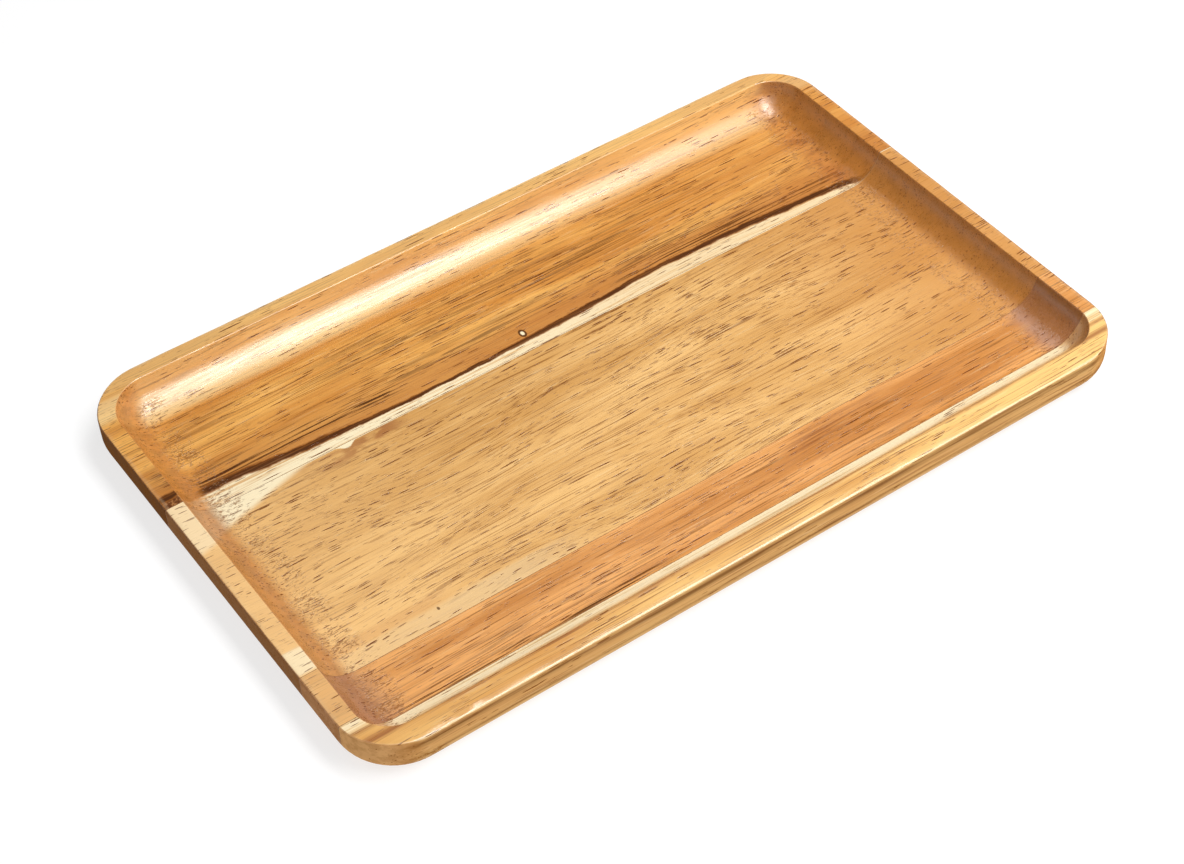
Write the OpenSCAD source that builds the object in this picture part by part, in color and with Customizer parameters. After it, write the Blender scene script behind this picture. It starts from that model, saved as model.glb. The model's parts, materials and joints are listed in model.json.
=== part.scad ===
// Serving tray, glued up from four solid staves and routed out as one blank.
// The long side lies along X, the front faces -Y, and the tray rests on z = 0.
// The origin is at the middle of the underside.

/* [Tray] */
// Length over the two ends
tray_length = 356; // [300:1:420]
// Depth from the front edge to the back edge
tray_depth = 228; // [190:1:280]
// Height from the table to the top of the rim
tray_height = 18; // [17:0.5:24]
// Plan radius of the four outer corners
corner_r = 25; // [20:0.5:30]
// Radius that turns the outer side in under the tray
underside_r = 9.5; // [6:0.5:12]

/* [Rim] */
// Width of the flat rim at the front
rim_front = 9.5; // [6:0.5:12]
// Width of the flat rim at the back
rim_back = 7.5; // [6:0.5:12]
// Width of the flat rim at the left end
rim_left = 8; // [6:0.5:12]
// Width of the flat rim at the right end
rim_right = 7; // [6:0.5:12]
// Radius that breaks the outer top edge of the rim
edge_r = 0.6; // [0.3:0.1:1]

/* [Recess] */
// Depth of the recess below the rim
recess_depth = 12; // [9:0.5:13]
// Distance in plan from the foot of the cove to the rim
cove_run = 15; // [13:0.5:18]

/* [Staves] */
// Width of the stave that carries the front rim
front_stave_w = 22; // [18:1:24]
// Width of the narrow stave behind it
inner_front_stave_w = 27; // [20:1:40]
// Width of the wide stave in the middle
centre_stave_w = 101; // [80:1:110]
// Thickness of the cured glue in each butt joint
glue_t = 0.2; // [0.1:0.05:0.4]

/* [Hidden] */
$fn = 96;

// Positions of the three butt joints, from the front edge backwards.
front_y = -tray_depth / 2;
back_y = tray_depth / 2;
front_joint_y = front_y + front_stave_w;
centre_joint_y = front_joint_y + inner_front_stave_w;
back_joint_y = centre_joint_y + centre_stave_w;

// The cove is an arc that starts level at the floor and reaches the rim after cove_run.
floor_z = tray_height - recess_depth;
cove_r = (pow(cove_run, 2) + pow(recess_depth, 2)) / (2 * recess_depth);
cove_z = floor_z + cove_r;

// Half sizes of the two rectangles that the side and cove profiles run round.
blank_half_x = tray_length / 2 - corner_r;
blank_half_y = tray_depth / 2 - corner_r;
floor_half_x = (tray_length - rim_left - rim_right) / 2 - cove_run;
floor_half_y = (tray_depth - rim_front - rim_back) / 2 - cove_run;
recess_x = (rim_left - rim_right) / 2;
recess_y = (rim_front - rim_back) / 2;

// How far the cutting slabs run past the tray.
clear = 5;

// Section of the blank's side, from a corner's centre line out to the side.
module side_profile() {
    square([corner_r - underside_r, tray_height]);
    translate([0, underside_r])
        square([corner_r - edge_r, tray_height - underside_r]);
    translate([0, underside_r])
        square([corner_r, tray_height - edge_r - underside_r]);
    intersection() {
        translate([corner_r - underside_r, underside_r])
            circle(underside_r);
        square([corner_r, underside_r]);
    }
    translate([corner_r - edge_r, tray_height - edge_r])
        circle(edge_r);
}

// Section of the cove, from its foot outwards, carried on up past the rim.
module cove_profile() {
    intersection() {
        translate([0, cove_z])
            circle(cove_r);
        translate([0, floor_z])
            square(cove_r);
    }
}

// A slab with the profile on both long edges and square-cut ends.
module profiled_slab(length, half_width, low, high) {
    rotate([90, 0, 90])
        linear_extrude(length, center = true) {
            translate([-half_width, low])
                square([2 * half_width, high - low]);
            for (side = [0, 1])
                mirror([side, 0])
                    translate([half_width, 0])
                        children();
        }
}

// Runs a profile round a rectangle, with a quarter turn at each corner.
module profiled_block(half_x, half_y, low, high) {
    profiled_slab(2 * half_x, half_y, low, high)
        children();
    rotate(90)
        profiled_slab(2 * half_y, half_x, low, high)
            children();
    for (turn = [0:3]) {
        side_x = turn == 0 || turn == 3 ? 1 : -1;
        side_y = turn < 2 ? 1 : -1;
        translate([side_x * half_x, side_y * half_y, 0])
            rotate(90 * turn)
                rotate_extrude(angle = 90)
                    children();
    }
}

module tray_shape() {
    difference() {
        profiled_block(blank_half_x, blank_half_y, 0, tray_height)
            side_profile();
        translate([recess_x, recess_y, 0])
            profiled_block(floor_half_x, floor_half_y, floor_z, cove_z)
                cove_profile();
    }
}

// The part of the tray between two planes across Y.
module tray_between(y_from, y_to) {
    intersection() {
        tray_shape();
        translate([-tray_length, y_from, -clear])
            cube([2 * tray_length, y_to - y_from, tray_height + 2 * clear]);
    }
}

// A board that reaches to the middle of each joint, less half the glue.
module stave(y_from, y_to) {
    tray_between(
        y_from == front_y ? y_from - clear : y_from + glue_t / 2,
        y_to == back_y ? y_to + clear : y_to - glue_t / 2
    );
}

module glue_line(joint_y) {
    color("saddlebrown")
        tray_between(joint_y - glue_t / 2, joint_y + glue_t / 2);
}

module front_stave() {
    color("burlywood")
        stave(front_y, front_joint_y);
}

module inner_front_stave() {
    color("peru")
        stave(front_joint_y, centre_joint_y);
}

module centre_stave() {
    color("sandybrown")
        stave(centre_joint_y, back_joint_y);
}

module back_stave() {
    color("chocolate")
        stave(back_joint_y, back_y);
}

front_stave();
inner_front_stave();
centre_stave();
back_stave();
glue_line(front_joint_y);  // front_glue_line
glue_line(centre_joint_y);  // centre_glue_line
glue_line(back_joint_y);  // back_glue_line
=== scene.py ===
"""Visual model of the wooden serving tray: four glued staves, routed out as one blank.

All shapes are built in millimetres in the tray's own frame and scaled to metres when a mesh is made.
X runs along the grain, the front faces -Y and the tray rests on z = 0.
"""

import json
import math
from typing import NamedTuple

import bmesh
import bpy
from mathutils import Matrix, Vector, noise


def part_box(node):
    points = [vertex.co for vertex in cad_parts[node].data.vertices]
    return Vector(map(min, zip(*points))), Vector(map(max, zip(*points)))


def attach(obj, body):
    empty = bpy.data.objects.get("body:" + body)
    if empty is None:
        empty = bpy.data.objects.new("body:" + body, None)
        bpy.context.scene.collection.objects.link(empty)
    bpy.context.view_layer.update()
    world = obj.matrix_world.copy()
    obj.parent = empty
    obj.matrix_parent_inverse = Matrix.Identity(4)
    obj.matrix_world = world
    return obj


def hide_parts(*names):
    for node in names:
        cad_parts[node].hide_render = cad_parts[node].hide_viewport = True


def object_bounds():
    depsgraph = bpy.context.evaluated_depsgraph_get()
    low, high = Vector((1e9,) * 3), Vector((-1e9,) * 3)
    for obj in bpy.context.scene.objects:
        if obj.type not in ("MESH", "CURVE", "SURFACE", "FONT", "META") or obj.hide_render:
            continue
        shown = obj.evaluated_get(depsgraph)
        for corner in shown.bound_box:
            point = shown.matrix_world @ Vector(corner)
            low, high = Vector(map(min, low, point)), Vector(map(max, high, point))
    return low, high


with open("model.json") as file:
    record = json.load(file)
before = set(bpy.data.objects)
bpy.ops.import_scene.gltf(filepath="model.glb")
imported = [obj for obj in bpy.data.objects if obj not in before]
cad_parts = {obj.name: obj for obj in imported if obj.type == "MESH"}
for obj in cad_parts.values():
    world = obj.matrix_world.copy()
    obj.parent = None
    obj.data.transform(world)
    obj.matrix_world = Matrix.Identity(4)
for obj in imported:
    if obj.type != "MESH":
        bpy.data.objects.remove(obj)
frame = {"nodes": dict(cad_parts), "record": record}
cad_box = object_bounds()

MM = 0.001


def record_entry(entries, key, value):
    """The one entry in a list of the record's whose key has this value."""
    return next(entry for entry in entries if entry[key] == value)


# ---------------------------------------------------------------- sizes, in millimetres

LOW = cad_box[0] / MM
HIGH = cad_box[1] / MM
HALF_X = (HIGH.x - LOW.x) / 2
HALF_Y = (HIGH.y - LOW.y) / 2
RIM_Z = HIGH.z
FLOOR_Z = record_entry(frame["record"]["mounts"], "name", "recess_floor")["pos_m"][2] / MM

CORNER_R = 25.0
UNDERSIDE_R = 9.5
OUTER_EDGE_R = 0.6
INNER_EDGE_R = 0.5
RIM_FRONT, RIM_BACK, RIM_LEFT, RIM_RIGHT = 9.5, 7.5, 8.0, 7.0
COVE_RUN = 15.0

# What the back left corner's radius has over the other three, outside and at the recess.
OUTER_ROUNDER, INNER_ROUNDER = 2.5, 4.0

DEPTH = RIM_Z - FLOOR_Z
COVE_R = (COVE_RUN**2 + DEPTH**2) / (2 * DEPTH)
BLANK_HALF = Vector((HALF_X - CORNER_R, HALF_Y - CORNER_R))
FLOOR_HALF = Vector((HALF_X - (RIM_LEFT + RIM_RIGHT) / 2, HALF_Y - (RIM_FRONT + RIM_BACK) / 2))
FLOOR_HALF -= Vector((COVE_RUN, COVE_RUN))
RECESS_CENTRE = Vector(((RIM_LEFT - RIM_RIGHT) / 2, (RIM_FRONT - RIM_BACK) / 2))
BACK_JOINT_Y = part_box("back_glue_line")[0].y / MM
FRONT_JOINT_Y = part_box("front_glue_line")[0].y / MM

# Wear on the outer edge: how deep it wanders and chips, over what length, and where the chips are.
WANDER_DEPTH, WANDER_LENGTH = 0.10, 9
CHIP_DEPTH, CHIP_LENGTH = 0.9, 2.2
CHIPPED_X, CHIPPED_REACH = -145, 22


# ---------------------------------------------------------------- mesh

STEPS_X, STEPS_Y, STEPS_CORNER = 176, 104, 14
STEPS_UNDERSIDE, STEPS_EDGE, STEPS_COVE = 12, 5, 24

# How far along the upright side and the flat rim the rings lie, close to both ends so that they shade flat.
SIDE_SHARES = (0.05, 0.35, 0.65, 0.95)
RIM_SHARES = (0.05, 0.28, 0.5, 0.72, 0.95)
UNDERSIDE_BORDER = 0.5

# Faces that tilt up more than this are never outside. Edges that bend more than this shade as creases.
OUTSIDE_TILT = 0.6
CREASE_ANGLE = 40


class Ring:
    """One closed line round the tray: a rounded rectangle at one height."""

    def __init__(self, half, centre, radius, z, rounder):
        """rounder is what the back left corner's radius has over the other three."""
        self.half, self.centre, self.radius, self.z, self.rounder = half, centre, radius, z, rounder

    def blended(self, other, share):
        return Ring(
            self.half.lerp(other.half, share),
            self.centre.lerp(other.centre, share),
            self.radius + (other.radius - self.radius) * share,
            self.z + (other.z - self.z) * share,
            self.rounder + (other.rounder - self.rounder) * share,
        )

    def corner(self, side_x, side_y):
        """The arc's points at one corner, anticlockwise."""
        extra = self.rounder if (side_x, side_y) == (-1, 1) else 0.0
        middle = self.centre + Vector((side_x * (self.half.x - extra), side_y * (self.half.y - extra)))
        start = math.degrees(math.atan2(side_y, side_x)) - 45
        angles = arc(start, start + 90, STEPS_CORNER)
        return [middle + Vector((math.cos(a), math.sin(a))) * (self.radius + extra) for a in angles]

    def points(self):
        """Corner arcs joined by evenly divided straight sides, anticlockwise from the back right corner."""
        corners = [self.corner(1, 1), self.corner(-1, 1), self.corner(-1, -1), self.corner(1, -1)]
        result = []
        for number, points in enumerate(corners):
            leaving, arrival = points[-1], corners[(number + 1) % 4][0]
            steps = STEPS_X if number % 2 == 0 else STEPS_Y
            result += points + [leaving.lerp(arrival, step / steps) for step in range(1, steps)]
        return [point.to_3d() + Vector((0, 0, self.z)) for point in result]


def arc(start, end, steps):
    """Angles in radians from start to end, both in degrees."""
    return [math.radians(start + (end - start) * step / steps) for step in range(steps + 1)]


def arc_sections(radius, z, size, angles):
    """Points (radius, z) on an arc of the given size about a centre."""
    return [(radius + size * math.cos(angle), z + size * math.sin(angle)) for angle in angles]


def outer_rings():
    """From the middle of the underside out and up to the outer edge of the rim's flat."""
    inset = CORNER_R - UNDERSIDE_R
    top = RIM_Z - OUTER_EDGE_R
    sections = [(0.0, 0.0), (inset - UNDERSIDE_BORDER, 0.0)]
    sections += arc_sections(inset, UNDERSIDE_R, UNDERSIDE_R, arc(-90, 0, STEPS_UNDERSIDE))
    sections += [(CORNER_R, UNDERSIDE_R + (top - UNDERSIDE_R) * share) for share in SIDE_SHARES]
    sections += arc_sections(CORNER_R - OUTER_EDGE_R, top, OUTER_EDGE_R, arc(0, 90, STEPS_EDGE))
    rings = []
    for radius, z in sections:
        rings.append(Ring(BLANK_HALF, Vector((0, 0)), radius, z, OUTER_ROUNDER * radius / CORNER_R))
    return rings


def cove_rings():
    """From the inner edge of the rim's flat down the cove to its foot."""
    cove_z = FLOOR_Z + COVE_R
    edge_z = RIM_Z - INNER_EDGE_R
    edge_run = math.sqrt((COVE_R + INNER_EDGE_R) ** 2 - (cove_z - edge_z) ** 2)
    meeting = math.degrees(math.atan2(cove_z - edge_z, edge_run))
    sections = arc_sections(edge_run, edge_z, INNER_EDGE_R, arc(90, 180 - meeting, STEPS_EDGE))
    sections += arc_sections(0.0, cove_z, COVE_R, arc(-meeting, -90, STEPS_COVE)[1:])
    rings = []
    for radius, z in sections:
        rings.append(Ring(FLOOR_HALF, RECESS_CENTRE, radius, z, INNER_ROUNDER * radius / COVE_RUN))
    return rings


def tray_rings():
    outer, inner = outer_rings(), cove_rings()
    flat = [outer[-1].blended(inner[0], share) for share in RIM_SHARES]
    return outer + flat + inner


def add_grid(mesh, half, centre, z, upward):
    """A flat rectangle whose border points are those of a ring of no radius."""
    rows = []
    for row in range(STEPS_Y + 1):
        y = centre.y - half.y + 2 * half.y * row / STEPS_Y
        xs = [centre.x - half.x + 2 * half.x * column / STEPS_X for column in range(STEPS_X + 1)]
        rows.append([mesh.verts.new((x, y, z)) for x in xs])
    for low, high in zip(rows, rows[1:]):
        for column in range(STEPS_X):
            quad = [low[column], low[column + 1], high[column + 1], high[column]]
            mesh.faces.new(quad if upward else quad[::-1])


def eased(point):
    """A sanded edge is never quite straight: the outer arris wanders, and is chipped near the front left."""
    height = (point.z - (RIM_Z - 2 * OUTER_EDGE_R)) / (2 * OUTER_EDGE_R)
    outside = max(abs(point.x) - HALF_X, abs(point.y) - HALF_Y) + 1.2 * OUTER_EDGE_R
    if height <= 0 or outside <= 0:
        return point
    wander = WANDER_DEPTH * (1 + noise.noise(point / WANDER_LENGTH))
    chips = noise.noise(Vector((point.x / CHIP_LENGTH, point.y / CHIP_LENGTH, 7.5)))
    chipped = math.exp(-(((point.x - CHIPPED_X) / CHIPPED_REACH) ** 2)) if point.y < FRONT_JOINT_Y else 0.0
    depth = (wander + CHIP_DEPTH * max(0.0, chips - 0.15) * chipped) * height
    inward = Vector((-point.x / HALF_X * (abs(point.x) > HALF_X - 2), 0, 0))
    inward += Vector((0, -point.y / HALF_Y * (abs(point.y) > HALF_Y - 2), 0))
    return point + inward * depth - Vector((0, 0, 0.6 * depth))


def tray_mesh():
    mesh = bmesh.new()
    loops = [[mesh.verts.new(eased(point)) for point in ring.points()] for ring in tray_rings()]
    for low, high in zip(loops, loops[1:]):
        for here in range(len(low)):
            after = (here + 1) % len(low)
            mesh.faces.new((low[here], low[after], high[after], high[here]))
    add_grid(mesh, BLANK_HALF, Vector((0, 0)), 0.0, upward=False)
    add_grid(mesh, FLOOR_HALF, RECESS_CENTRE, FLOOR_Z, upward=True)
    bmesh.ops.remove_doubles(mesh, verts=mesh.verts, dist=1e-3)
    return mesh


def cut(mesh, y, keep_above):
    """Cuts the mesh across Y, drops one side and closes the cut with a flat face."""
    everything = mesh.verts[:] + mesh.edges[:] + mesh.faces[:]
    bmesh.ops.bisect_plane(
        mesh,
        geom=everything,
        dist=1e-4,
        plane_co=(0, y, 0),
        plane_no=(0, 1, 0),
        clear_inner=keep_above,
        clear_outer=not keep_above,
    )
    border = [edge for edge in mesh.edges if edge.is_boundary]
    bmesh.ops.holes_fill(mesh, edges=border, sides=0)


def is_outside(face):
    """Whether a face is on the tray's outer sides or its underside."""
    outward = face.normal.xy.dot(face.calc_center_median().xy)
    return face.normal.z < OUTSIDE_TILT and outward >= 0


def slice_piece(name, node, materials, whole):
    """The part of the whole tray inside a CAD node's Y range, as the piece that stands for that node.

    materials are the one for the inside and the one for the outside.
    """
    low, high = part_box(node)
    mesh = whole.copy()
    if low.y > cad_box[0].y + MM:
        cut(mesh, low.y / MM, keep_above=True)
    if high.y < cad_box[1].y - MM:
        cut(mesh, high.y / MM, keep_above=False)
    bmesh.ops.recalc_face_normals(mesh, faces=mesh.faces)
    for face in mesh.faces:
        face.material_index = int(is_outside(face))
    bmesh.ops.scale(mesh, vec=(MM, MM, MM), verts=mesh.verts)
    data = bpy.data.meshes.new(name)
    mesh.to_mesh(data)
    mesh.free()
    data.shade_smooth()
    data.set_sharp_from_angle(angle=math.radians(CREASE_ANGLE))
    for material in materials:
        data.materials.append(material)
    piece = bpy.data.objects.new(name, data)
    bpy.context.scene.collection.objects.link(piece)
    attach(piece, "root")
    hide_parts(node)


# ---------------------------------------------------------------- node helpers

# Light that a level white surface sends back in this studio, against white on the screen.
STUDIO_LEVEL = 1.08

# Sockets of a Mix node that mixes colours.
MIX_FACTOR, MIX_FIRST, MIX_SECOND, MIX_RESULT = 0, 6, 7, 2


def tone(red, green, blue):
    """The linear base colour that shows as this screen colour, 0 to 255, when it lies flat in the studio."""

    def linear(value):
        value /= 255
        return (value / 12.92 if value <= 0.04045 else ((value + 0.055) / 1.055) ** 2.4) / STUDIO_LEVEL

    return linear(red), linear(green), linear(blue), 1.0


class Graph:
    """Short calls for the few node types that the materials use. Each call returns an output socket."""

    def __init__(self, name):
        self.material = bpy.data.materials.new(name)
        self.material.use_nodes = True
        self.tree = self.material.node_tree
        self.tree.nodes.clear()

    def node(self, kind, inputs=(), **settings):
        made = self.tree.nodes.new(kind)
        for key, value in settings.items():
            setattr(made, key, value)
        for key, value in dict(inputs).items():
            if isinstance(value, bpy.types.NodeSocket):
                self.tree.links.new(value, made.inputs[key])
            elif value is not None:
                made.inputs[key].default_value = value
        return made

    def math(self, operation, first, second=None):
        return self.node("ShaderNodeMath", {0: first, 1: second}, operation=operation).outputs[0]

    def add(self, first, second):
        return self.math("ADD", first, second)

    def minus(self, first, second):
        return self.math("SUBTRACT", first, second)

    def times(self, first, second):
        return self.math("MULTIPLY", first, second)

    def divided(self, first, second):
        return self.math("DIVIDE", first, second)

    def larger(self, first, second):
        return self.math("MAXIMUM", first, second)

    def absolute(self, value):
        return self.math("ABSOLUTE", value)

    def vector(self, operation, first, second):
        return self.node("ShaderNodeVectorMath", {0: first, 1: second}, operation=operation).outputs[0]

    def split(self, vector):
        return self.node("ShaderNodeSeparateXYZ", {0: vector}).outputs

    def join(self, x, y, z):
        return self.node("ShaderNodeCombineXYZ", {0: x, 1: y, 2: z}).outputs[0]

    def noise(self, vector, detail=2.0, roughness=0.5, distortion=0.0):
        inputs = {
            "Vector": vector,
            "Scale": 1.0,
            "Detail": detail,
            "Roughness": roughness,
            "Distortion": distortion,
        }
        return self.node("ShaderNodeTexNoise", inputs).outputs["Fac"]

    def cells(self, vector):
        """Voronoi distance to the nearest cell's middle, and three random numbers for that cell."""
        made = self.node("ShaderNodeTexVoronoi", {"Vector": vector, "Scale": 1.0})
        return made.outputs["Distance"], self.split(made.outputs["Color"])

    def map_range(self, value, low, high, bottom, top, **settings):
        inputs = {"Value": value, "From Min": low, "From Max": high, "To Min": bottom, "To Max": top}
        return self.node("ShaderNodeMapRange", inputs, **settings).outputs["Result"]

    def between(self, value, low, high, bottom=0.0, top=1.0):
        """Rises smoothly from bottom at low to top at high. low may be above high."""
        return self.map_range(value, low, high, bottom, top, interpolation_type="SMOOTHSTEP")

    def straight(self, value, low, high, bottom=0.0, top=1.0):
        """Rises in a straight line from bottom at low to top at high."""
        return self.map_range(value, low, high, bottom, top)

    def bump_at(self, value, middle, width):
        """1 where value is at middle, falling smoothly to 0 a width away on both sides."""
        return self.between(self.absolute(self.minus(value, middle)), width, 0.0)

    def window(self, value, start, end, fade):
        """1 from start to end, fading to 0 outside them."""
        return self.times(self.between(value, start - fade, start), self.between(value, end + fade, end))

    def curve(self, value, points, low, high):
        """The height at x = value of a smooth curve through points (x, height).

        The points run the tray's whole length, and their heights lie between low and high.
        """
        made = self.node("ShaderNodeFloatCurve", {"Value": self.straight(value, -HALF_X, HALF_X)})
        line = made.mapping.curves[0]
        scaled = [((x + HALF_X) / (2 * HALF_X), (height - low) / (high - low)) for x, height in points]
        line.points[0].location, line.points[1].location = scaled[0], scaled[-1]
        for place in scaled[1:-1]:
            line.points.new(*place)
        made.mapping.update()
        return self.straight(made.outputs[0], 0.0, 1.0, low, high)

    def mix(self, factor, first, second):
        """A colour that is first where factor is 0 and second where it is 1."""
        inputs = {MIX_FACTOR: factor, MIX_FIRST: first, MIX_SECOND: second}
        return self.node("ShaderNodeMix", inputs, data_type="RGBA").outputs[MIX_RESULT]


# ---------------------------------------------------------------- wood

CREAM = tone(255, 238, 198)
BURNT = tone(78, 37, 0)
BROWN = tone(144, 86, 18)
PORE = tone(112, 54, 0)

WOOD_GLOSS, GLUE_GLOSS = 0.85, 0.5
WOOD_IOR = 1.55

# How strongly the relief shows, and how high a relief of 1 is, in metres.
RELIEF_STRENGTH, RELIEF_HEIGHT = 0.5, 0.0004

# How softly a streak ends along the grain, and how much narrower than wide a knot is along it.
STREAK_FADE = 16
KNOT_NARROWING = 1.5

# A pore's cell is this many pores long and wide. The pore reaches a share of it between these two.
CELL_LENGTHS, CELL_WIDTHS = 2.0, 3.0
SMALLEST_PORE, LARGEST_PORE = 0.12, 0.36

# The inner edge of the rim's flat at the left end, and how far it blends into the cove.
LEFT_RIM_X = RIM_LEFT - HALF_X
LEFT_RIM_FADE = 4


class Streak(NamedTuple):
    """A bundle of burnt lines along the grain, in millimetres apart from its strength."""

    y: float
    width: float
    start: float
    end: float
    strength: float


class Wood(Graph):
    """One board's wood as a solid texture, with X along the grain. Every length is in millimetres."""

    def __init__(self, name, seed, wild):
        """wild is how far the grain wanders sideways along the board."""
        super().__init__(name)
        coordinates = self.node("ShaderNodeTexCoord")
        self.place = self.vector("MULTIPLY", coordinates.outputs["Object"], (1 / MM,) * 3)
        self.x, self.y, self.z = self.split(self.place)
        self.facing = self.split(coordinates.outputs["Normal"])
        self.seed = Vector((seed * 37.0, seed * 11.0, seed * 5.0))
        wander = self.centred(self.noise(self.stretched(self.place, 120, 34, 34), detail=1.0), wild)
        self.grain = self.vector("ADD", self.place, self.join(0.0, wander, wander))
        waviness = self.centred(self.noise(self.stretched(self.place, 34, 12, 12)), 3.0)
        self.row = self.add(self.y, waviness)
        self.layer = self.add(self.z, self.times(waviness, 0.5))

    def centred(self, value, width):
        """A noise value as an offset either side of 0, of about half the width each way."""
        return self.times(self.minus(value, 0.5), width)

    def stretched(self, vector, along, across, deep):
        """Coordinates with one unit per given length along, across and down into the wood."""
        scaled = self.vector("MULTIPLY", vector, (1 / along, 1 / across, 1 / deep))
        return self.vector("ADD", scaled, tuple(self.seed))

    # Areas of a board

    def streak(self, y, width, start, end):
        """A soft band along the grain, strongest at y, from start to end along X."""
        return self.times(self.bump_at(self.row, y, width), self.window(self.x, start, end, STREAK_FADE))

    def patch(self, left, right, front, back, fade=6, end_fade=20):
        """A soft-edged area of the plan. end_fade is how softly it ends along the grain."""
        along = self.window(self.x, left, right, end_fade)
        return self.times(along, self.window(self.row, front, back, fade))

    def away_from(self, x, y):
        """Distance in plan from a point on the board, for marks that are narrow along the grain."""
        near = self.vector("SUBTRACT", self.place, (x, y, 0))
        near = self.vector("MULTIPLY", near, (KNOT_NARROWING, 1, 0))
        return self.node("ShaderNodeVectorMath", {0: near}, operation="LENGTH").outputs["Value"]

    def below_rim(self, area):
        """The part of an area that is in the recess or on the sides, not on the rim's flat."""
        return self.times(area, self.between(self.z, RIM_Z, RIM_Z - 1))

    def left_rim(self):
        """The rim at the left end."""
        return self.between(self.x, LEFT_RIM_X + LEFT_RIM_FADE, LEFT_RIM_X)

    def end_grain(self):
        """0 where the surface runs along the grain, to 1 where it is cut square across it."""
        return self.between(self.absolute(self.facing[0]), 0.02, 0.5)

    def painted_shade_left_end(self):
        """1 on the tray's outer end face on the left, which is painted dark as its shade."""
        outward = self.between(self.times(self.facing[0], -1), 0.15, 0.7)
        return self.times(outward, self.between(self.times(self.x, -1), HALF_X - 30, HALF_X - 20))

    def arris(self):
        """The rim's broken outer edge, painted pale: partly wear, where the finish is thin and the wood
        shows, and partly a painted highlight where the rounded edge meets the light.
        """
        outward = self.add(self.times(self.facing[0], self.x), self.times(self.facing[1], self.y))
        tilted = self.times(self.window(self.facing[2], 0.3, 0.85, 0.2), self.between(outward, 0, 20))
        tilted = self.times(tilted, self.between(self.absolute(self.facing[0]), 0.3, 0.1))
        return self.times(tilted, self.between(self.z, RIM_Z - 1.6 * OUTER_EDGE_R, RIM_Z - OUTER_EDGE_R))

    def torn_foot(self):
        """Torn, pitted grain where the cutter climbed from the floor into the end coves."""
        from_middle = self.absolute(self.minus(self.x, RECESS_CENTRE.x))
        climb = self.window(from_middle, FLOOR_HALF.x - 5, FLOOR_HALF.x + 3, 5)
        inside = self.between(self.z, FLOOR_Z + 4.5, FLOOR_Z + 2)
        pits = self.noise(self.stretched(self.place, 1.8, 0.7, 0.7), detail=3.0, roughness=0.7)
        patches = self.noise(self.stretched(self.place, 20, 14, 14), detail=1.0)
        level = self.add(pits, self.centred(patches, 0.35))
        return self.times(self.times(climb, inside), self.between(level, 0.56, 0.62))

    # Grain

    def fibres(self):
        """Fine pale and dark streaks along the grain, around 0.5."""
        return self.noise(self.stretched(self.grain, 24, 0.7, 0.9), detail=3.0, roughness=0.65)

    def hairlines(self):
        """Long, thin dark lines, few and far between."""
        lines = self.noise(self.stretched(self.grain, 42, 0.55, 0.8), detail=1.5, roughness=0.4)
        return self.between(lines, 0.58, 0.66)

    def lines(self, across, low, high):
        """Parallel dark lines along the grain: 1 in a line, 0 between them."""
        lines = self.noise(self.stretched(self.grain, 60, across, across), roughness=0.6)
        return self.between(lines, low, high)

    def vessels(self, length, width, amount):
        """Open pores cut lengthwise: dark dashes, or dots where the cut crosses the grain."""
        across = width * CELL_WIDTHS
        distance, chance = self.cells(self.stretched(self.grain, length * CELL_LENGTHS, across, across))
        size = self.straight(chance[0], 0.0, 1.0, SMALLEST_PORE, LARGEST_PORE)
        inside = self.between(self.divided(distance, size), 1.0, 0.75)
        crowding = self.centred(self.noise(self.stretched(self.grain, 40, 8, 8), detail=1.0), 1.8)
        chosen = self.math("GREATER_THAN", self.add(chance[1], self.add(crowding, amount)), 1.0)
        depth = self.straight(chance[2], 0.0, 1.0, 0.65, 1.0)
        return self.times(self.times(inside, chosen), depth)

    def pores(self, amount):
        """Long pores, short pores and faint ticks: 1 in a pore, 0 between them."""
        long_pores = self.vessels(length=9.0, width=0.34, amount=self.add(amount, 0.06))
        short_pores = self.vessels(length=5.0, width=0.32, amount=self.add(amount, -0.04))
        ticks = self.vessels(length=2.6, width=0.19, amount=amount)
        return self.larger(self.larger(long_pores, short_pores), self.times(ticks, 0.6))

    def base(self, light, dark, across=10.0):
        """Growth bands, broad blotches and fibres in a board's two tones."""
        bands = self.noise(self.stretched(self.grain, 210, across, across * 1.6), detail=3.0, roughness=0.6)
        blotches = self.noise(self.stretched(self.place, 60, 24, 24))
        shade = self.add(self.times(bands, 0.7), self.times(blotches, 0.3))
        colour = self.mix(self.between(shade, 0.36, 0.64), light, dark)
        fine = self.fibres()
        colour = self.mix(self.between(fine, 0.48, 0.74, 0.0, 0.5), colour, BROWN)
        colour = self.mix(self.times(self.hairlines(), 0.75), colour, BROWN)
        return self.mix(self.between(fine, 0.46, 0.24, 0.0, 0.3), colour, CREAM)

    # Marks laid over a colour

    def darkened(self, colour, amount):
        return self.mix(amount, colour, BURNT)

    def streaked(self, colour, streaks, low, high):
        """Adds bundles of burnt lines. low and high set how much of a bundle is line."""
        for streak in streaks:
            bundle = self.times(self.streak(*streak[:4]), self.lines(1.0, low, high))
            colour = self.darkened(colour, self.times(bundle, streak.strength))
        return colour

    def with_ends(self, colour, inner_end, shaded_left_tone):
        """Gives the end coves and the outer left end their own mottled tones, with painted shade where they
        turn away from the key light.
        """
        mottle = self.noise(self.stretched(self.place, 9, 4, 4), detail=3.0, roughness=0.65)
        inner_end = self.mix(self.between(mottle, 0.38, 0.62, 0.0, 0.55), inner_end, BROWN)
        # Painted shade: faces turned to -X, the right end cove and the outer left end, are mixed toward
        # brown.
        inner_end = self.mix(self.between(self.facing[0], 0.0, -0.5, 0.0, 0.55), inner_end, BROWN)
        colour = self.mix(self.times(self.end_grain(), 0.85), colour, inner_end)
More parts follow.
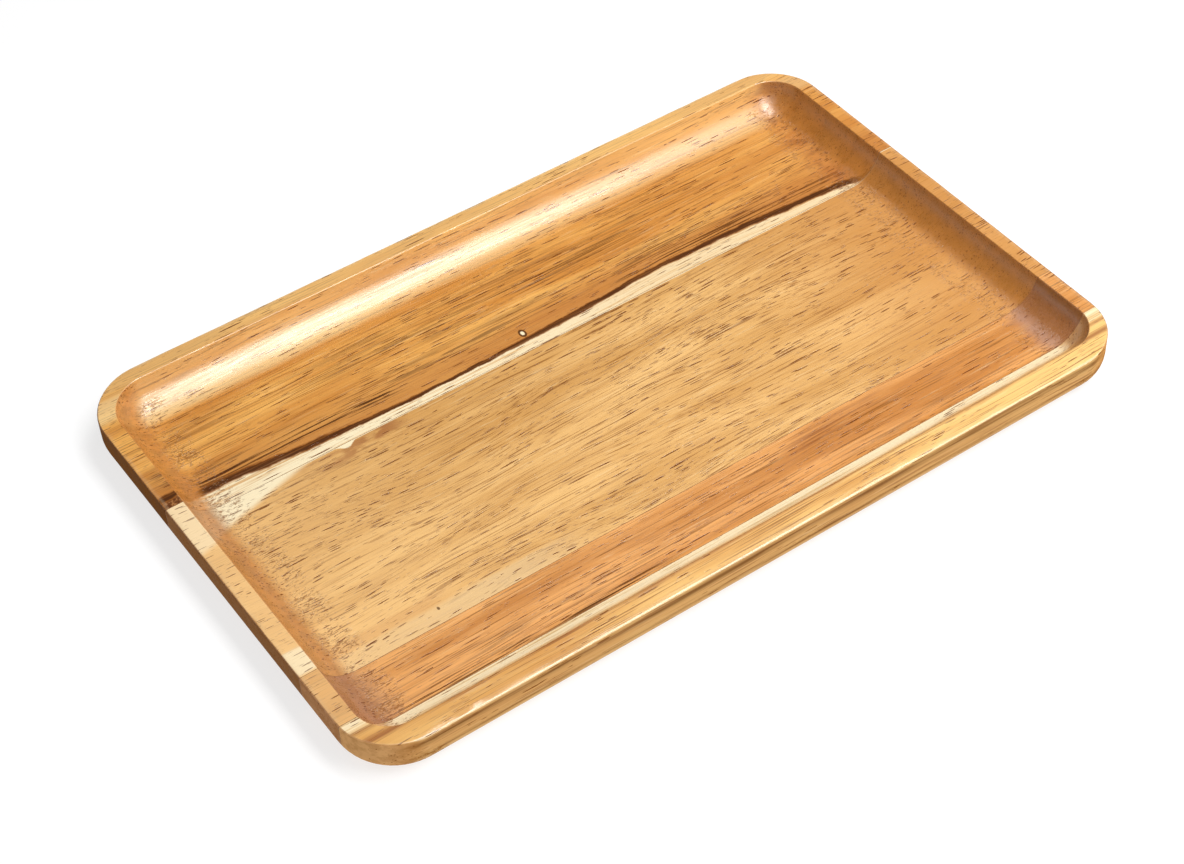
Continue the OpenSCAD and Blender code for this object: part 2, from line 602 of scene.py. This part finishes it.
        # Painted shade: the outer left end, turned away from the key light, takes its own much darker tone.
        shaded_left_tone = self.mix(self.between(mottle, 0.4, 0.6, 0.0, 0.3), shaded_left_tone, BROWN)
        return self.mix(self.times(self.painted_shade_left_end(), 0.9), colour, shaded_left_tone)

    def finished(self, colour, pore_amount, inner_end, shaded_left_tone):
        """Adds what every board has, pores, end grain and edges, with painted shade on the faces turned from
        the key light and a painted highlight on the outer edge, and closes its two materials.
        """
        torn = self.torn_foot()
        pores = self.pores(pore_amount)
        colour = self.with_ends(colour, inner_end, shaded_left_tone)
        # Wear and a painted highlight: the outer edge is mixed toward cream.
        colour = self.mix(self.times(self.arris(), 0.5), colour, CREAM)
        colour = self.mix(self.times(torn, 0.7), colour, BROWN)
        colour = self.mix(self.times(pores, 0.95), colour, PORE)
        fine = self.fibres()
        pits = self.larger(self.times(pores, 0.15), self.times(torn, 0.6))
        relief = self.minus(self.times(fine, 0.3), pits)
        self.close(colour, self.rubbed_roughness(colour, fine), relief, WOOD_GLOSS)
        return self.material, self.matte_twin()

    def rubbed_roughness(self, colour, fine):
        """Follows the fibres. Pores and burnt lines hold more finish, so they are smoother."""
        lightness = self.node("ShaderNodeRGBToBW", {0: colour}).outputs[0]
        smoother = self.between(lightness, 0.06, 0.2, 0.3, 1.0)
        return self.times(self.between(fine, 0.3, 0.7, 0.25, 0.43), smoother)

    def close(self, colour, roughness, relief, gloss):
        """relief is the surface's height as a share of RELIEF_HEIGHT."""
        settings = {"Strength": RELIEF_STRENGTH, "Distance": RELIEF_HEIGHT, "Height": relief}
        bump = self.node("ShaderNodeBump", settings)
        inputs = {
            "Base Color": colour,
            "Roughness": roughness,
            "Normal": bump.outputs[0],
            "Specular IOR Level": gloss,
            "IOR": WOOD_IOR,
        }
        shader = self.node("ShaderNodeBsdfPrincipled", inputs)
        self.node("ShaderNodeOutputMaterial", {"Surface": shader.outputs[0]})

    def matte_twin(self):
        """The same wood for the outer sides and underside, which are oiled but never rubbed to a gloss."""
        twin = self.material.copy()
        twin.name = self.material.name + "_outside"
        shader = next(node for node in twin.node_tree.nodes if node.type == "BSDF_PRINCIPLED")
        shader.inputs["Specular IOR Level"].default_value = 0.0
        return twin


# ---------------------------------------------------------------- back stave

BACK_STREAKS = (
    Streak(y=51, width=10, start=-165, end=-75, strength=0.95),
    Streak(y=48, width=7, start=50, end=160, strength=0.95),
    Streak(y=56, width=7, start=-60, end=120, strength=0.6),
    Streak(y=70, width=6, start=-60, end=60, strength=0.55),
    Streak(y=78, width=12, start=-150, end=100, strength=0.35),
)

# Where heartwood turns to sapwood, as (x, y), and the range that holds every y.
HEART_LINE = (
    (-178, 41),
    (-168, 42.5),
    (-152, 47),
    (-130, 45.2),
    (-107, 43.2),
    (-72, 41.4),
    (-40, 41.2),
    (-8, 42),
    (26, 43.3),
    (56, 45),
    (88, 44.5),
    (113, 43.3),
    (138, 41.5),
    (156, 40),
    (164, 36),
    (178, 32),
)
HEART_LINE_RANGE = (30, 55)

# Half the burnt line's width along it, as (x, half width), and the range that holds every half width.
BURNT_LINE = (
    (-178, 1.3),
    (-150, 2.3),
    (-115, 2.2),
    (-80, 1.2),
    (-40, 1.1),
    (5, 1.7),
    (40, 1.4),
    (130, 1.9),
    (178, 1.9),
)
BURNT_LINE_RANGE = (0, 4)

KNOT_X, KNOT_Y = -9, 46


def back_wood():
    """Orange heartwood, with a burnt wavy line and a strip of cream sapwood along its joint."""
    wood = Wood("back_wood", 1, wild=5)
    colour = wood.base(tone(252, 188, 96), tone(214, 140, 54))
    near_joint = wood.between(wood.row, 66, 46, 0.0, 0.62)
    colour = wood.mix(near_joint, colour, tone(184, 112, 44))
    colour = wood.streaked(colour, BACK_STREAKS, 0.50, 0.58)
    right_end = wood.between(wood.x, 60, 160, 0.0, 0.35)
    colour = wood.mix(right_end, colour, tone(204, 132, 60))
    colour = painted_cove_sheen(wood, colour)
    colour = curled_and_shaded_end(wood, colour)
    # Painted sheen: the back cove's paler lit band carried on over its lip onto the back rim.
    rim = wood.between(wood.row, 103, 108, 0.0, 0.4)
    colour = wood.mix(rim, colour, tone(250, 212, 142))
    colour = sapwood_strip(wood, colour)
    colour = knotted(wood, colour)
    crowded = wood.times(wood.patch(20, 160, 48, 62), 0.3)
    # The last tone is the outer left end's, painted dark as shade.
    return wood.finished(colour, wood.add(crowded, 0.36), tone(206, 132, 52), tone(112, 76, 50))


def painted_cove_sheen(wood, colour):
    """Painted sheen: the middle of the back cove is painted paler, most at the left, where the key light's
    highlight lies along it.
    """
    # A painted highlight along the back cove, fading toward the right.
    cove_sheen = wood.times(wood.window(wood.row, 94, 101, 5), wood.between(wood.x, -150, 60, 0.5, 0.3))
    return wood.mix(cove_sheen, colour, tone(255, 228, 168))


def curled_and_shaded_end(wood, colour):
    """Curled grain, and painted shade at the right end of the recess: a red-brown foot."""
    curl = wood.noise(wood.stretched(wood.place, 12, 9, 9), detail=3.0, distortion=2.5)
    curl = wood.times(wood.between(curl, 0.5, 0.62), wood.between(wood.x, 148, 160))
    colour = wood.darkened(colour, wood.times(wood.below_rim(curl), 0.5))
    # Painted shade: the right end cove below the rim is darkened toward red-brown.
    foot = wood.below_rim(wood.between(wood.x, 148, 157))
    return wood.mix(wood.times(foot, 0.45), colour, tone(186, 108, 44))


def sapwood_strip(wood, colour):
    """Cream sapwood in front of the heart line, browner to the right and with bark on the left rim."""
    ripple = wood.centred(wood.noise(wood.stretched(wood.place, 7, 4, 4), detail=3.0), 2.4)
    above = wood.add(wood.minus(wood.y, wood.curve(wood.x, HEART_LINE, *HEART_LINE_RANGE)), ripple)
    strip = wood.mix(wood.lines(0.8, 0.48, 0.66), CREAM, tone(222, 176, 116))
    strip = wood.mix(wood.between(wood.x, -60, 60, 0.0, 0.45), strip, tone(226, 184, 124))
    flakes = wood.between(wood.noise(wood.stretched(wood.place, 2, 2, 2), detail=3.0), 0.35, 0.6)
    bark = wood.mix(flakes, tone(180, 118, 60), tone(100, 52, 16))
    strip = wood.mix(wood.between(wood.x, -167, -171), strip, bark)
    colour = wood.mix(wood.between(above, 0.5, -0.5), colour, strip)
    return heart_line(wood, colour, above)


def heart_line(wood, colour, above):
    """The burnt line itself, with a brown halo. above is the distance behind its middle."""
    half_width = wood.curve(wood.x, BURNT_LINE, *BURNT_LINE_RANGE)
    away = wood.divided(wood.absolute(above), half_width)
    colour = wood.mix(wood.between(away, 1.25, 0.75, 0.0, 0.9), colour, tone(158, 92, 28))
    broken = wood.add(wood.times(wood.lines(0.7, 0.36, 0.50), 0.35), 0.6)
    return wood.darkened(colour, wood.times(wood.between(away, 0.95, 0.5), broken))


def knotted(wood, colour):
    """A pin knot: a burnt ring round a cream middle."""
    away = wood.away_from(KNOT_X, KNOT_Y)
    colour = wood.darkened(colour, wood.times(wood.between(away, 2.7, 2.2), 0.9))
    return wood.mix(wood.between(away, 1.5, 0.9), colour, CREAM)


# ---------------------------------------------------------------- centre stave

TOOTH_X, TOOTH_REACH, TOOTH_DEPTH = -100, 5, 2.4
PIN_X, PIN_Y = -116, -58


def centre_wood():
    """Tan wood full of pores, with a cream corner at the left end."""
    wood = Wood("centre_wood", 2, wild=15)
    colour = wood.base(tone(242, 192, 120), tone(214, 158, 84), across=14)
    right_end = wood.between(wood.x, 60, 165, 0.0, 0.75)
    colour = wood.mix(right_end, colour, tone(204, 138, 66))
    colour = front_left_bands(wood, colour)
    colour = stained(wood, colour)
    left_end = wood.between(wood.x, -60, -150, 0.0, 0.45)
    colour = wood.mix(left_end, colour, tone(250, 202, 134))
    colour = cream_corner(wood, colour)
    pin = wood.between(wood.away_from(PIN_X, PIN_Y), 1.1, 0.6)
    colour = wood.darkened(colour, wood.times(pin, 0.8))
    colour = wood.mix(wood.times(wood.left_rim(), 0.45), colour, tone(252, 204, 140))
    rim_end = wood.times(wood.left_rim(), wood.window(wood.row, -64, -53, 1.5))
    colour = wood.mix(wood.times(rim_end, 0.7), colour, CREAM)
    crowded = wood.larger(wood.patch(-80, 0, -61, -47), wood.patch(15, 60, 0, 27))
    crowded = wood.larger(crowded, wood.patch(-157, -118, -5, 27))
    pore_amount = wood.add(wood.times(crowded, 0.3), 0.42)
    # The last tone is the outer left end's, painted dark as shade.
    return wood.finished(colour, pore_amount, tone(190, 120, 46), tone(146, 104, 70))


def front_left_bands(wood, colour):
    """A brown band and a paler one in front of it, from the left end along the front joint."""
    brown = wood.patch(-160, -122, -55, -52, fade=3)
    colour = wood.mix(wood.times(brown, 0.6), colour, tone(202, 138, 72))
    pale = wood.patch(-160, -90, -70, -58, fade=3, end_fade=50)
    return wood.mix(wood.times(pale, 0.6), colour, tone(227, 197, 149))


def stained(wood, colour):
    """A blotchy brown stain behind the middle, near the left end."""
    blotch = wood.between(wood.noise(wood.stretched(wood.place, 12, 5, 5), detail=3.0), 0.44, 0.60)
    stain = wood.times(wood.patch(-112, -84, 30, 40, fade=5, end_fade=14), blotch)
    return wood.mix(wood.times(stain, 0.85), colour, tone(158, 90, 32))


def cream_corner(wood, colour):
    """Sapwood that runs from the back joint down to the left cove, and a small tooth of it at the joint."""
    reach = wood.add(wood.minus(wood.row, 26), wood.times(wood.add(wood.x, 152), -0.28))
    reach = wood.add(reach, wood.times(wood.minus(wood.z, FLOOR_Z), 0.95))
    sapwood = wood.times(wood.between(reach, -1.5, 2.5), wood.between(wood.x, -60, -110))
    colour = wood.mix(sapwood, colour, CREAM)
    dip = wood.times(wood.bump_at(wood.x, TOOTH_X, TOOTH_REACH), TOOTH_DEPTH)
    tooth = wood.between(wood.add(wood.y, dip), BACK_JOINT_Y - 0.6, BACK_JOINT_Y)
    return wood.mix(tooth, colour, CREAM)


# ---------------------------------------------------------------- inner front stave

INNER_FRONT_STREAKS = (
    Streak(y=-90.5, width=3.5, start=-155, end=-45, strength=0.95),
    Streak(y=-84, width=5, start=-155, end=-40, strength=0.45),
    Streak(y=-87, width=4, start=60, end=130, strength=0.4),
)


def inner_front_wood():
    """Red-brown wood with burnt streaks along its front joint."""
    wood = Wood("inner_front_wood", 3, wild=5)
    colour = wood.base(tone(240, 172, 98), tone(198, 126, 50))
    colour = wood.streaked(colour, INNER_FRONT_STREAKS, 0.46, 0.60)
    feather = wood.times(wood.patch(48, 80, -75, -69, fade=3), wood.lines(1.4, 0.40, 0.62))
    colour = wood.mix(wood.times(feather, 0.7), colour, tone(142, 79, 32))
    colour = burns_and_painted_sheen(wood, colour)
    # The last tone is the outer left end's, painted dark as shade.
    return wood.finished(colour, 0.36, tone(162, 106, 68), tone(190, 140, 98))


def burns_and_painted_sheen(wood, colour):
    """A painted reflection, grey, over the right end cove, with cutter burns charring it; a cutter burn in
    the left end cove; and the paler left rim.
    """
    cloud = wood.centred(wood.noise(wood.stretched(wood.place, 8, 6, 6), detail=3.0), 10.0)
    cloudy_x = wood.add(wood.x, cloud)
    right = wood.below_rim(wood.between(cloudy_x, 150, 160))
    left = wood.below_rim(wood.between(cloudy_x, -148, -158))
    # Painted reflection: a grey sheen over the right end cove.
    colour = wood.mix(wood.times(right, 0.75), colour, tone(168, 127, 108))
    colour = wood.mix(wood.times(wood.left_rim(), 0.6), colour, tone(233, 187, 123))
    height = wood.add(wood.z, wood.times(cloud, 0.5))
    char = wood.times(right, wood.between(height, FLOOR_Z + 2, RIM_Z - 2))
    colour = wood.darkened(colour, wood.times(char, 0.8))
    return wood.mix(wood.times(left, 0.5), colour, tone(164, 116, 86))


# ---------------------------------------------------------------- front stave

# Brown bands on top, as (y, width, strength), and on the front side, as (height, width, strength).
TOP_BANDS = ((-98.5, 1.8, 0.5), (-104, 2.4, 0.9))
SIDE_BANDS = ((15.0, 2.6, 0.8), (8.6, 1.2, 0.7))


def front_wood():
    """Cream sapwood by the joint turning to tan at the rim, with dark streaks low on the front face."""
    wood = Wood("front_wood", 4, wild=4)
    colour = wood.base(tone(246, 198, 118), tone(214, 152, 74))
    streaky = wood.mix(wood.lines(0.9, 0.48, 0.70), CREAM, tone(219, 184, 127))
    sapwood = wood.between(wood.row, -98.5, -95, 0.0, 0.8)
    colour = wood.mix(sapwood, colour, streaky)
    for y, width, strength in TOP_BANDS:
        band = wood.times(wood.bump_at(wood.row, y, width), strength)
        colour = wood.mix(band, colour, tone(164, 102, 46))
    colour = banded_side(wood, colour)
    # The last tone is the outer left end's, painted dark as shade.
    return wood.finished(colour, 0.12, tone(214, 153, 87), tone(222, 170, 112))


def banded_side(wood, colour):
    """The front side: duller, cream low down, with two dark bands of lines along it."""
    on_side = wood.between(wood.facing[2], 0.6, 0.2)
    colour = wood.mix(wood.times(on_side, 0.5), colour, tone(192, 144, 100))
    low_cream = wood.times(on_side, wood.between(wood.layer, 7.5, 5.5))
    colour = wood.mix(wood.times(low_cream, 0.7), colour, tone(227, 193, 151))
    lines = wood.add(wood.times(wood.lines(2.0, 0.42, 0.60), 0.6), 0.4)
    for height, width, strength in SIDE_BANDS:
        band = wood.times(on_side, wood.bump_at(wood.layer, height, width))
        band = wood.times(band, lines)
        colour = wood.mix(wood.times(band, strength), colour, tone(106, 61, 23))
    return colour


# ---------------------------------------------------------------- glue and pieces


def glue_film():
    """Cured glue darkened by oil, seen only as a hair line."""
    wood = Wood("cured_glue", 9, wild=1)
    speckle = wood.noise(wood.stretched(wood.place, 6, 2, 2), detail=3.0)
    colour = wood.mix(wood.between(speckle, 0.35, 0.65), tone(142, 87, 44), tone(102, 57, 26))
    wood.close(colour, wood.between(speckle, 0.3, 0.7, 0.45, 0.6), speckle, GLUE_GLOSS)
    return wood.material, wood.material


def make_pieces():
    whole = tray_mesh()
    woods = {
        "back_stave": back_wood(),
        "centre_stave": centre_wood(),
        "inner_front_stave": inner_front_wood(),
        "front_stave": front_wood(),
    }
    glue = glue_film()
    for node in frame["nodes"]:
        name = node + ("_wood" if node in woods else "_film")
        slice_piece(name, node, woods.get(node, glue), whole)
    whole.free()


# ---------------------------------------------------------------- stage

# The camera's angles in degrees, and its target and distance as shares of the tray's length.
CAMERA_AZIMUTH, CAMERA_ELEVATION, CAMERA_ROLL = -32.64, 45.67, -3.18
CAMERA_LENS = 74.8
TARGET_X, TARGET_Y, CAMERA_DISTANCE = -0.0700, -0.0774, 2.6752

# The world's strength at the horizon and overhead, and the heights of view where it changes.
HORIZON, OVERHEAD = 0.9, 0.11
HORIZON_ENDS, OVERHEAD_STARTS = 0.05, 0.35

PAPER_WHITE, PAPER_GLOW = 0.3, 0.74


def make_camera():
    data = bpy.data.cameras.new("camera")
    data.sensor_width = 36.0
    data.lens = CAMERA_LENS
    data.clip_start, data.clip_end = 0.05, 20.0
    camera = bpy.data.objects.new("camera", data)
    bpy.context.scene.collection.objects.link(camera)
    around, above = math.radians(CAMERA_AZIMUTH), math.radians(CAMERA_ELEVATION)
    back = Vector((math.sin(around) * math.cos(above), -math.cos(around) * math.cos(above), math.sin(above)))
    length = 2 * HALF_X * MM
    target = Vector((TARGET_X * length, TARGET_Y * length, RIM_Z * MM))
    turn = back.to_track_quat("Z", "Y").to_matrix().to_4x4()
    roll = Matrix.Rotation(math.radians(CAMERA_ROLL), 4, "Z")
    camera.matrix_world = Matrix.Translation(target + back * CAMERA_DISTANCE * length) @ turn @ roll
    bpy.context.scene.camera = camera


def add_softbox(name, place, size, power):
    """A level panel of light that shines straight down."""
    data = bpy.data.lights.new(name, "AREA")
    data.shape = "RECTANGLE"
    data.size, data.size_y = size
    data.energy = power
    light = bpy.data.objects.new(name, data)
    bpy.context.scene.collection.objects.link(light)
    light.location = place


def make_surroundings():
    """A pale horizon that darkens overhead, so that the tray's level faces stay free of reflections."""
    world = bpy.data.worlds.new("studio")
    world.use_nodes = True
    nodes, links = world.node_tree.nodes, world.node_tree.links
    direction = nodes.new("ShaderNodeTexCoord")
    height = nodes.new("ShaderNodeSeparateXYZ")
    level = nodes.new("ShaderNodeMapRange")
    level.inputs["From Min"].default_value = HORIZON_ENDS
    level.inputs["From Max"].default_value = OVERHEAD_STARTS
    level.inputs["To Min"].default_value = HORIZON
    level.inputs["To Max"].default_value = OVERHEAD
    links.new(direction.outputs["Generated"], height.inputs[0])
    links.new(height.outputs["Z"], level.inputs["Value"])
    links.new(level.outputs["Result"], nodes["Background"].inputs["Strength"])
    nodes["Background"].inputs["Color"].default_value = (1.0, 1.0, 1.0, 1.0)
    bpy.context.scene.world = world


def paper():
    """White paper that glows a little, so that the tray's shadow on it stays faint."""
    graph = Graph("paper")
    inputs = {
        "Base Color": (PAPER_WHITE, PAPER_WHITE, PAPER_WHITE, 1.0),
        "Roughness": 0.9,
        "Specular IOR Level": 0.0,
        "Emission Color": (1.0, 1.0, 1.0, 1.0),
        "Emission Strength": PAPER_GLOW,
    }
    shader = graph.node("ShaderNodeBsdfPrincipled", inputs)
    graph.node("ShaderNodeOutputMaterial", {"Surface": shader.outputs[0]})
    return graph.material


def make_stage():
    bpy.ops.mesh.primitive_plane_add(size=12.0, location=(0, 0, 0))
    floor = bpy.context.object
    floor.name = "floor"
    floor.data.materials.append(paper())
    make_surroundings()
    add_softbox("key", place=(0.38, -0.45, 1.15), size=(0.52, 1.3), power=22.5)
    add_softbox("fill", place=(-0.1, -0.9, 1.2), size=(1.4, 0.7), power=5.0)
    bpy.context.scene.view_settings.view_transform = "Standard"


make_camera()
make_pieces()
make_stage()
